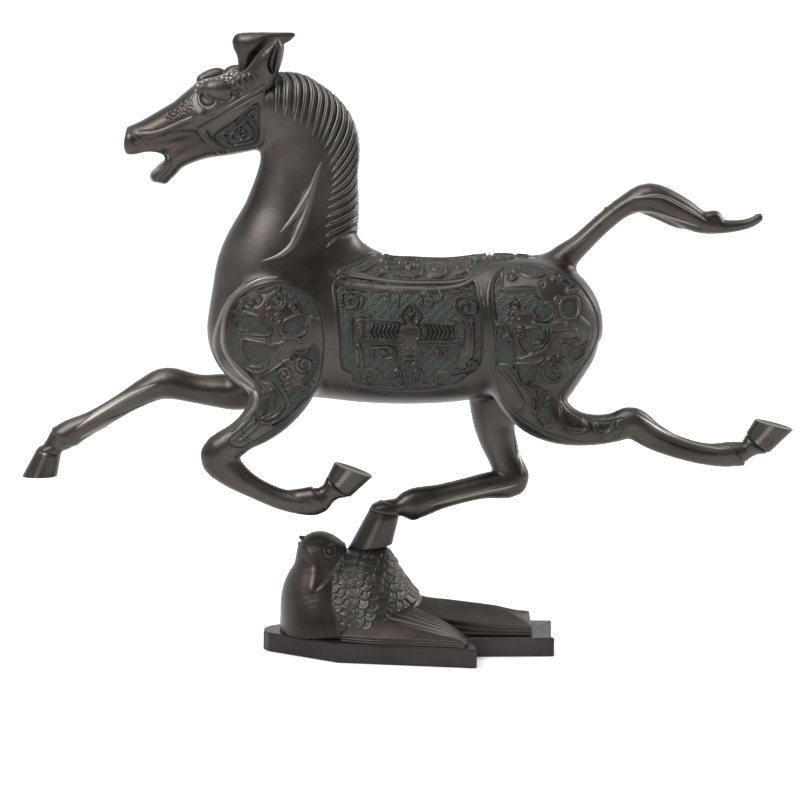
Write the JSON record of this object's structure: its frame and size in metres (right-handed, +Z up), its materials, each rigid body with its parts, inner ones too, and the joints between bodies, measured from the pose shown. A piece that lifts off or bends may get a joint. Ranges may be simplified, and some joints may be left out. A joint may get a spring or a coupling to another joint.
{
  "type": "flying horse statue",
  "caption": "Bronze statue of a galloping horse with carved panels, one hind hoof resting on a flying swallow that lies on a low bird-shaped plinth.",
  "frame": {"origin": "centre of the plinth's underside, below the middle of the statue", "axes": "+X from the horse's head towards its tail, +Y towards the horse's right side, +Z up; the horse gallops towards -X"},
  "size_m": [0.3711, 0.093, 0.2975],
  "materials": {
    "horse_bronze": "dark brown patinated bronze, satin, green in the recesses",
    "swallow_bronze": "dark brown patinated bronze, satin",
    "plinth_bronze": "dark brown patinated bronze, satin"
  },
  "bodies": {
    "root": {"horse": "horse_bronze", "swallow": "swallow_bronze", "plinth": "plinth_bronze"}
  },
  "joints": []
}
